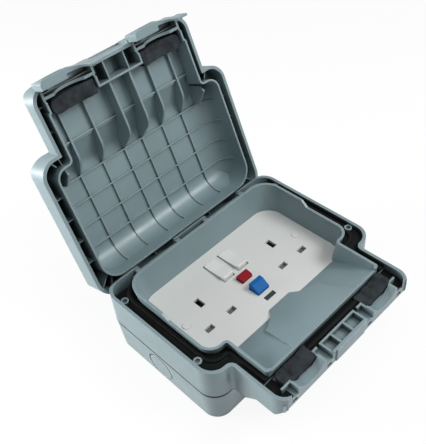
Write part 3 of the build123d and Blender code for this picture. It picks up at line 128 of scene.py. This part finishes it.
def white_to_camera(tree, lit, out_name, share=1.0):
    """Mixes a share of white glow into what camera, reflected and see-through rays get."""
    rays = tree.nodes.new("ShaderNodeLightPath").outputs
    seen = maths(tree, "MAXIMUM", rays["Is Camera Ray"], rays["Is Glossy Ray"])
    seen = maths(tree, "MAXIMUM", seen, rays["Is Transmission Ray"])
    glow = tree.nodes.new("ShaderNodeEmission")
    glow.inputs["Color"].default_value = (1, 1, 1, 1)
    pick = tree.nodes.new("ShaderNodeMixShader")
    tree.links.new(maths(tree, "MULTIPLY", seen, share), pick.inputs[0])
    tree.links.new(lit.outputs[0], pick.inputs[1])
    tree.links.new(glow.outputs[0], pick.inputs[2])
    tree.links.new(pick.outputs[0], tree.nodes[out_name].inputs["Surface"])


# %% Make the room
ROOM_STRENGTH = 0.20

world = bpy.data.worlds.new("white_room")
bpy.context.scene.world = world
world.use_nodes = True
room = world.node_tree.nodes["Background"]
room.inputs["Color"].default_value = (1, 1, 1, 1)
room.inputs["Strength"].default_value = ROOM_STRENGTH
white_to_camera(world.node_tree, room, "World Output")
bpy.context.scene.view_settings.view_transform = "Standard"
print("room:", world.name, "strength", ROOM_STRENGTH)

# %% [markdown]
# ## Floor
# The box lies on a white studio table. One big plane a hair under the box is enough. Most of
# what the camera sees of it is plain white, and the rest is its own shading, so that a faint
# shadow stays.

# %% Add the floor
FLOOR_SIDE, FLOOR_DROP = 6.0, 0.2 * MM
FLOOR_WHITE, FLOOR_ROUGHNESS = 0.86, 0.7
FLOOR_GLOW = 0.90  # the share of plain white

bpy.ops.mesh.primitive_plane_add(size=FLOOR_SIDE, location=(0, 0, -FLOOR_DROP))
floor = bpy.context.object
floor.name = "floor"
white_table = bpy.data.materials.new("white_table")
white_table.use_nodes = True
shade = white_table.node_tree.nodes["Principled BSDF"]
shade.inputs["Base Color"].default_value = (FLOOR_WHITE, FLOOR_WHITE, FLOOR_WHITE, 1)
shade.inputs["Roughness"].default_value = FLOOR_ROUGHNESS
white_to_camera(white_table.node_tree, shade, "Material Output", share=FLOOR_GLOW)
floor.data.materials.append(white_table)
print("floor:", floor.name)

# %% [markdown]
# ## Steps for a finish
# A finish is a chain of small nodes, and most finishes share their steps: cloudy noise, a
# value stretched to a new range, two colours blended, fine relief. Each step is one function.
# A pattern reads Object coordinates, which are metres on these pieces, so a noise scale of 1000
# gives spots of about a millimetre. A picture wrapped round the piece would need seams.

# %% Helpers for patterns
NOISE_SPAN = (0.3, 0.7)  # most of a noise's values lie in here


def new_finish(name):
    """An empty finish: its material, its node tree and its shader."""
    finish = bpy.data.materials.new(name)
    finish.use_nodes = True
    return finish, finish.node_tree, finish.node_tree.nodes["Principled BSDF"]


def noise(tree, place, size, detail, roughness=0.5):
    """Cloudy spots of a size in millimetres."""
    spots = tree.nodes.new("ShaderNodeTexNoise")
    spots.inputs["Scale"].default_value = 1.0 / (size * MM)
    spots.inputs["Detail"].default_value = detail
    spots.inputs["Roughness"].default_value = roughness
    tree.links.new(place, spots.inputs["Vector"])
    return spots.outputs["Fac"]


def spread(tree, value, low, high, span=NOISE_SPAN):
    """Stretches what lies in a span of a value, so that it runs from low to high."""
    ramp = tree.nodes.new("ShaderNodeMapRange")
    ramp.inputs["From Min"].default_value, ramp.inputs["From Max"].default_value = span
    ramp.inputs["To Min"].default_value = low
    ramp.inputs["To Max"].default_value = high
    tree.links.new(value, ramp.inputs["Value"])
    return ramp.outputs["Result"]


# %% Helpers for colour and relief
# A Mix node has sockets for numbers, vectors and colours. These are the colours' own.
MIX_SHARE, MIX_FIRST, MIX_SECOND, MIX_RESULT = 0, 6, 7, 2


def blend_colours(tree, share, first, second):
    """The first colour where the share is 0 and the second where it is 1."""
    blend = tree.nodes.new("ShaderNodeMix")
    blend.data_type = "RGBA"
    tree.links.new(share, blend.inputs[MIX_SHARE])
    for index, value in ((MIX_FIRST, first), (MIX_SECOND, second)):
        if isinstance(value, tuple):
            blend.inputs[index].default_value = (*value, 1)
        else:
            tree.links.new(value, blend.inputs[index])
    return blend.outputs[MIX_RESULT]


def times(colour, factor):
    """A darker or lighter colour."""
    return tuple(min(1.0, c * factor) for c in colour)


def relief(tree, skin, pattern, depth, normal=None):
    """Gives a shader fine relief from a pattern, with a depth in millimetres."""
    bump = tree.nodes.new("ShaderNodeBump")
    bump.inputs["Distance"].default_value = depth * MM
    tree.links.new(pattern, bump.inputs["Height"])
    if normal:
        tree.links.new(normal, bump.inputs["Normal"])
    tree.links.new(bump.outputs["Normal"], skin.inputs["Normal"])


# %% [markdown]
# ## Wear and painted light: pale corners, painted shade in inner corners and along the seam
# Outer corners are painted pale: partly rubbed wear, and partly a painted highlight where an edge
# catches the light. A Bevel node gives the normal that a rounded corner would have, and where it
# leaves the face's own normal there is a corner. Inner corners get painted shade, darker where
# ambient occlusion finds little open space. A line of painted shade also runs along the seam
# round the box, which is all at one height. Such places could be painted by hand, but nodes find
# them on every piece at once.

# %% Helpers for wear, painted highlights and painted shade
RAY_SAMPLES = 8
CORNER_SPAN = (0.80, 0.995)  # how well the two normals agree, from a sharp corner to a flat face
WEAR_AND_GLINT_SIZE, LEAST_WEAR_AND_GLINT = 7.0, 0.55
SEAM_FADE = 1.4  # the line fades out over this times its half width


def worn_and_glinting_corners(tree, place, normal):
    """1 on an outer corner, painted pale partly as rubbed wear and partly as a painted highlight,
    0 on a flat face, and uneven along the corner.
    """
    shape = tree.nodes.new("ShaderNodeNewGeometry")
    meet = tree.nodes.new("ShaderNodeVectorMath")
    meet.operation = "DOT_PRODUCT"
    tree.links.new(normal, meet.inputs[0])
    tree.links.new(shape.outputs["Normal"], meet.inputs[1])
    corner = spread(tree, meet.outputs["Value"], 1, 0, CORNER_SPAN)
    patches = spread(tree, noise(tree, place, WEAR_AND_GLINT_SIZE, 3), LEAST_WEAR_AND_GLINT, 1)
    return maths(tree, "MULTIPLY", corner, patches)


def openness(tree, reach):
    """From 0 deep in an inner corner to 1 on an open face, judged within a reach."""
    corners = tree.nodes.new("ShaderNodeAmbientOcclusion")
    corners.samples = RAY_SAMPLES
    corners.inputs["Distance"].default_value = reach * MM
    return corners.outputs["AO"]


def off_the_line(tree, place, height, half):
    """0 on a level line round the piece, with its height and half width, and 1 off it."""
    split = tree.nodes.new("ShaderNodeSeparateXYZ")
    tree.links.new(place, split.inputs[0])
    away = maths(tree, "SUBTRACT", split.outputs["Z"], height * MM)
    away = maths(tree, "ABSOLUTE", away)
    return spread(tree, away, 0, 1, (half * MM, SEAM_FADE * half * MM))


# %% [markdown]
# ## A recipe for moulded finishes
# Most pieces are moulded. Such a surface is never quite even: its colour clouds a little, its
# gloss wanders, and the tool leaves a fine grain. The same steps with other numbers make
# plastic, rubber and foam, so the recipe is one function.

# %% A function for moulded finishes
GLOSS_SIZE = 11.0
# In the first span of openness, inner corners fade from painted shade to their own colour; the
# second span keeps the pale corners off inner corners.
CORNER_SHADE_SPAN, WEAR_AND_GLINT_SPAN = (0.15, 0.52), (0.55, 0.85)  # of openness
# The pale that outer corners take, partly wear and partly painted highlight, and how dark the
# painted shade along the seam is.
WORN_AND_GLINT_WHITE, SEAM_DARK = 0.8, 0.12


def moulded(name, colour, cloud=0.06, cloud_size=38.0, rough=(0.4, 0.55), grain=0.02,
            grain_size=0.35, edge=0.5, pale=0.25, specular=0.5, corner_shade=0.5, reach=6.0, seam=None):
    """A moulded finish. Its inner corners get painted shade, a seam gets a painted line of shade,
    and its outer corners a pale that is partly wear and partly painted highlight. Sizes are in
    millimetres. A seam is a line's height and half width.
    """
    finish, tree, skin = new_finish(name)
    skin.inputs["Specular IOR Level"].default_value = specular
    place = tree.nodes.new("ShaderNodeTexCoord").outputs["Object"]
    rounded = tree.nodes.new("ShaderNodeBevel")
    rounded.samples = RAY_SAMPLES
    rounded.inputs["Radius"].default_value = edge * MM
    normal = rounded.outputs["Normal"]

    spots = spread(tree, noise(tree, place, cloud_size, 4), 0, 1)
    paint = blend_colours(tree, spots, times(colour, 1 - cloud), times(colour, 1 + cloud))
    wear_and_glint = worn_and_glinting_corners(tree, place, normal)
    # painted shade: the colour darkens in inner corners, where ambient occlusion finds little
    # open space
    if corner_shade:
        air = openness(tree, reach)
        unshaded = spread(tree, air, 0, 1, CORNER_SHADE_SPAN)
        paint = blend_colours(tree, unshaded, times(colour, 1 - corner_shade), paint)
        wear_and_glint = maths(tree, "MULTIPLY", wear_and_glint, spread(tree, air, 0, 1, WEAR_AND_GLINT_SPAN))
    # painted shade: a dark line along the seam's height, standing in for the shade in the seam's
    # groove
    if seam:
        unshaded = off_the_line(tree, place, *seam)
        paint = blend_colours(tree, unshaded, times(colour, SEAM_DARK), paint)
        wear_and_glint = maths(tree, "MULTIPLY", wear_and_glint, unshaded)
    # the pale colour of outer corners: partly rubbed wear, partly a painted highlight where an
    # edge catches the light
    worn_and_glint = tuple(min(1.0, c + pale * (WORN_AND_GLINT_WHITE - c)) for c in colour)
    tree.links.new(blend_colours(tree, wear_and_glint, paint, worn_and_glint), skin.inputs["Base Color"])
    gloss = spread(tree, noise(tree, place, GLOSS_SIZE, 5), *rough)
    tree.links.new(gloss, skin.inputs["Roughness"])
    relief(tree, skin, noise(tree, place, grain_size, 3, roughness=0.6), grain, normal)
    return finish


# %% [markdown]
# ## The finishes
# The case is one grey-blue plastic, and it alone gets a line of painted shade along its seam. The
# plate and switches are a glossier white plastic, with red and blue buttons. The slots' white
# shutters are coloured dark grey, which paints the shade deep in the slots. The seal is black
# rubber and the cable pads are charcoal foam rubber, which is matt and full of small pores.

# %% Make the moulded finishes
MOULDED = {
    # The case gets strong painted shade in its inner corners and a painted line of shade along
    # its seam.
    "case_grey": dict(colour=(0.174, 0.243, 0.262), rough=(0.30, 0.42), grain=0.006, edge=0.40,
                      pale=0.50, corner_shade=0.88, reach=12.0, seam=(28.9, 0.9)),
    "plate_white": dict(colour=(0.570, 0.583, 0.573), cloud=0.015, rough=(0.30, 0.40),
                        grain=0.0, grain_size=1.5, edge=0.35, pale=0.3, corner_shade=0.0),
    "rocker_white": dict(colour=(0.645, 0.662, 0.645), cloud=0.015, rough=(0.34, 0.44),
                         grain=0.002, edge=0.6, pale=0.3, specular=0.3, corner_shade=0.25, reach=1.5),
    "button_red": dict(colour=(0.22, 0.004, 0.012), cloud=0.05, rough=(0.42, 0.52),
                       grain=0.003, edge=0.4, pale=0.04, specular=0.15, corner_shade=0.4, reach=3.0),
    "button_blue": dict(colour=(0.004, 0.105, 0.330), cloud=0.05, rough=(0.45, 0.55),
                        grain=0.003, edge=0.4, pale=0.04, specular=0.12, corner_shade=0.4, reach=3.0),
    "window_dark": dict(colour=(0.018, 0.030, 0.025), rough=(0.15, 0.25), grain=0.001,
                        edge=0.2, pale=0.02, specular=0.3),
    # The shutters are white plastic; this dark grey, with strong darkening in its inner corners,
    # paints the shade deep in the slots.
    "shutter_white": dict(colour=(0.10, 0.10, 0.098), rough=(0.4, 0.5), corner_shade=0.9),
    "works_grey": dict(colour=(0.05, 0.055, 0.06), rough=(0.45, 0.6)),
    "gasket_black": dict(colour=(0.0035, 0.004, 0.004), cloud=0.3, rough=(0.5, 0.7),
                         grain=0.015, grain_size=0.5, edge=0.3, pale=0.02, specular=0.08),
    "pad_black": dict(colour=(0.020, 0.025, 0.029), cloud=0.5, cloud_size=6.0,
                      rough=(0.75, 0.9), grain=0.12, grain_size=0.9, edge=0.5, pale=0.06,
                      specular=0.2),
    "seal_grey": dict(colour=(0.004, 0.005, 0.006), rough=(0.6, 0.7), specular=0.1),
}
FINISHES = {name: moulded(name, **numbers) for name, numbers in MOULDED.items()}
print("moulded finishes:", sorted(FINISHES))

# %% [markdown]
# ## Metals
# Only a little metal shows: zinc plated screws and pins, and brass far down in the slots. Metal
# keeps a plain colour, and its look comes from how its gloss changes.

# %% Make the metals
MARK_SIZE, MARK_DEPTH = 1 / 0.9, 0.01
METALS = {
    "steel": dict(colour=(0.20, 0.205, 0.21), rough=(0.25, 0.42)),
    "brass": dict(colour=(0.62, 0.45, 0.17), rough=(0.22, 0.38)),
}


def metal(name, colour, rough):
    """A metal with fine marks and a wandering gloss."""
    finish, tree, skin = new_finish(name)
    skin.inputs["Base Color"].default_value = (*colour, 1)
    skin.inputs["Metallic"].default_value = 1.0
    place = tree.nodes.new("ShaderNodeTexCoord").outputs["Object"]
    marks = noise(tree, place, MARK_SIZE, 4)
    tree.links.new(spread(tree, marks, *rough, span=(0, 1)), skin.inputs["Roughness"])
    relief(tree, skin, marks, MARK_DEPTH)
    return finish


FINISHES.update({name: metal(name, **numbers) for name, numbers in METALS.items()})
print("metals:", sorted(METALS))

# %% [markdown]
# ## Dress the solid pieces
# Each solid piece already names its finish in the record, so one loop gives it the right one.

# %% Dress the solid pieces
SLOT_OF = {part["node"]: part["material_slot"] for part in frame["record"]["subparts"]}
for name, piece in frame["nodes"].items():
    piece.data.materials.clear()
    piece.data.materials.append(FINISHES[SLOT_OF[name]])
print("dressed:", len(frame["nodes"]))

# %% [markdown]
# ## Soft blocks and the rubber seal
# Four foam rubber blocks close round the cables, two in the frame and two in the lid, and a black
# seal runs round the rim. They are soft, so their edges are round and their faces aren't quite
# flat. They could be modelled anew, but a copy of the solid piece gives the right place and size.
# A voxel remesh gives it one even skin, smoothing rounds it, and a faint displacement makes it
# uneven.

# %% Helpers for pieces that start as a copy
JOIN_GAP = 0.001
LUMP_SIZE, LUMP_LEVEL = 5.0, 0.8
SMOOTH_STEP = 0.5


def copy_of(node, name, finish):
    """A new piece from a solid one's mesh, alone selected, with its loose triangles joined."""
    bpy.ops.object.select_all(action="DESELECT")
    piece = bpy.data.objects.new(name, frame["nodes"][node].data.copy())
    bpy.context.collection.objects.link(piece)
    bpy.context.view_layer.objects.active = piece
    piece.select_set(True)
    piece.data.materials.clear()
    piece.data.materials.append(FINISHES[finish])
    bpy.ops.object.mode_set(mode="EDIT")
    bpy.ops.mesh.select_all(action="SELECT")
    bpy.ops.mesh.remove_doubles(threshold=JOIN_GAP * MM)
    bpy.ops.object.mode_set(mode="OBJECT")
    return piece


def soften(piece, voxel, rounds, waves):
    """Rounds a piece and makes it uneven. The voxel and the waves are in millimetres."""
    skin = piece.modifiers.new("skin", "REMESH")
    skin.mode = "VOXEL"
    skin.voxel_size = voxel * MM
    bpy.ops.object.modifier_apply(modifier="skin")
    smooth = piece.modifiers.new("smooth", "SMOOTH")
    smooth.factor = SMOOTH_STEP
    smooth.iterations = rounds
    bpy.ops.object.modifier_apply(modifier="smooth")
    lumps = bpy.data.textures.new(piece.name + "_lumps", "CLOUDS")
    lumps.noise_scale = LUMP_SIZE * MM
    uneven = piece.modifiers.new("uneven", "DISPLACE")
    uneven.texture = lumps
    uneven.texture_coords = "LOCAL"
    uneven.mid_level = LUMP_LEVEL
    uneven.strength = waves * MM
    bpy.ops.object.modifier_apply(modifier="uneven")
    bpy.ops.object.shade_smooth()


# %% Make the frame's blocks
PRESSED_SHARE = 0.3  # of a block's width, at its left end
PRESS_DEPTH, PRESS_FADE = 1.6, 2.5


def press(piece, edge, depth, fade):
    """Presses a block down, softly, to the left of an edge. Sizes are in millimetres."""
    top = max(v.co.z for v in piece.data.vertices)
    low = min(v.co.z for v in piece.data.vertices)
    for v in piece.data.vertices:
        share = min(1.0, max(0.0, (edge * MM - v.co.x) / (fade * MM) + 0.5))
        share = share * share * (3 - 2 * share)
        v.co.z -= share * depth * MM * (v.co.z - low) / (top - low)


for side in ("right", "left"):
    node = "frame_cable_pad_" + side
    pad = copy_of(node, "foam_block_frame_" + side, "pad_black")
    soften(pad, voxel=0.4, rounds=6, waves=0.35)
    low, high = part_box(node)
    press(pad, (low[0] + PRESSED_SHARE * (high[0] - low[0])) / MM, PRESS_DEPTH, PRESS_FADE)
    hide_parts(node)
    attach(pad, "base")
    print(pad.name, "faces:", len(pad.data.polygons))

# %% Make the lid's blocks
for side in ("right", "left"):
    node = "lid_cable_pad_" + side
    pad = copy_of(node, "foam_block_lid_" + side, "pad_black")
    soften(pad, voxel=0.5, rounds=4, waves=0.4)
    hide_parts(node)
    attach(pad, "lid")
    print(pad.name, "faces:", len(pad.data.polygons))

# %% Make the rubber seal
seal = copy_of("lid_gasket", "rubber_seal", "gasket_black")
soften(seal, voxel=0.6, rounds=3, waves=0.1)
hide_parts("lid_gasket")
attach(seal, "base")
print(seal.name, "faces:", len(seal.data.polygons))

# %% [markdown]
# ## The seam's strip
# The back box and the frame are screwed together on a thin rubber strip. A copy of the solid
# strip, stretched about the box's middle until it is all but flush with the walls, shows as one
# dark line
# round the box: the strip's own black rubber, and also painted shade that stands in for the
# shadow in the seam's groove.

# %% Make the stretched seam strip
STRIP_HALF, SPREAD_HALF = (86.50, 56.50), (86.98, 56.98)  # half sides before and after
SEAM_SPREAD = (SPREAD_HALF[0] / STRIP_HALF[0], SPREAD_HALF[1] / STRIP_HALF[1], 1.0)

strip = copy_of("box_seal", "seam_strip", "seal_grey")
bpy.ops.object.mode_set(mode="EDIT")
bpy.ops.mesh.select_all(action="SELECT")
bpy.ops.transform.resize(value=SEAM_SPREAD, center_override=(0, 0, 0))
bpy.ops.mesh.normals_make_consistent(inside=False)
bpy.ops.object.mode_set(mode="OBJECT")
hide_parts("box_seal")
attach(strip, "base")
print(strip.name, "size:", [round(side / MM, 2) for side in strip.dimensions])

# %% [markdown]
# ## A dark sheet in the front corners
# In the two front corners a thin black sheet lies on the frame's floor, and paints the shade that
# falls there. Drawing that outline anew would leave gaps, so the floor's own faces give it: they
# are copied, cut to the corner with planes and made a little thicker.

# %% Helpers for faces and cuts
def pick_faces(piece, wanted):
    """Puts a piece in edit mode with only its wanted faces selected."""
    bpy.ops.object.mode_set(mode="EDIT")
    bpy.ops.mesh.select_mode(type="FACE")
    bpy.ops.mesh.select_all(action="DESELECT")
    bpy.ops.object.mode_set(mode="OBJECT")
    for face in piece.data.polygons:
        face.select = wanted(face)
    bpy.ops.object.mode_set(mode="EDIT")


def cut(place, normal):
    """Cuts the edited mesh with a plane and clears what lies on the normal's side."""
    bpy.ops.mesh.select_all(action="SELECT")
    bpy.ops.mesh.bisect(plane_co=place, plane_no=normal, clear_outer=True)


# %% Make the dark sheets in the front corners
# The sheets paint the shade in the front corners of the frame's floor.
SHEET_Z, HEIGHT_GAP, FACES_UP = 51.0, 0.02, 0.99
SHEET_X, SHEET_FRONT, SHEET_REAR, SHEET_THICK = 57.0, -99.0, -78.0, 0.2


def off_the_floor(face):
    """True for a face that isn't part of the frame's level floor."""
    at_height = abs(face.center.z - SHEET_Z * MM) < HEIGHT_GAP * MM
    return not (at_height and face.normal.z > FACES_UP)


for side, way in (("right", 1), ("left", -1)):
    dark_sheet = copy_of("front_frame", "shade_sheet_" + side, "gasket_black")
    pick_faces(dark_sheet, off_the_floor)
    bpy.ops.mesh.delete(type="FACE")
    bpy.ops.mesh.select_mode(type="VERT")
    cut((0, SHEET_FRONT * MM, 0), (0, -1, 0))
    cut((0, SHEET_REAR * MM, 0), (0, 1, 0))
    cut((way * SHEET_X * MM, 0, 0), (-way, 0, 0))
    bpy.ops.object.mode_set(mode="OBJECT")
    thick = dark_sheet.modifiers.new("thick", "SOLIDIFY")
    thick.thickness = SHEET_THICK * MM
    thick.offset = 1.0
    bpy.ops.object.modifier_apply(modifier="thick")
    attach(dark_sheet, "base")
    sides = [round(length / MM, 1) for length in dark_sheet.dimensions]
    print(dark_sheet.name, "faces:", len(dark_sheet.data.polygons), "size:", sides)
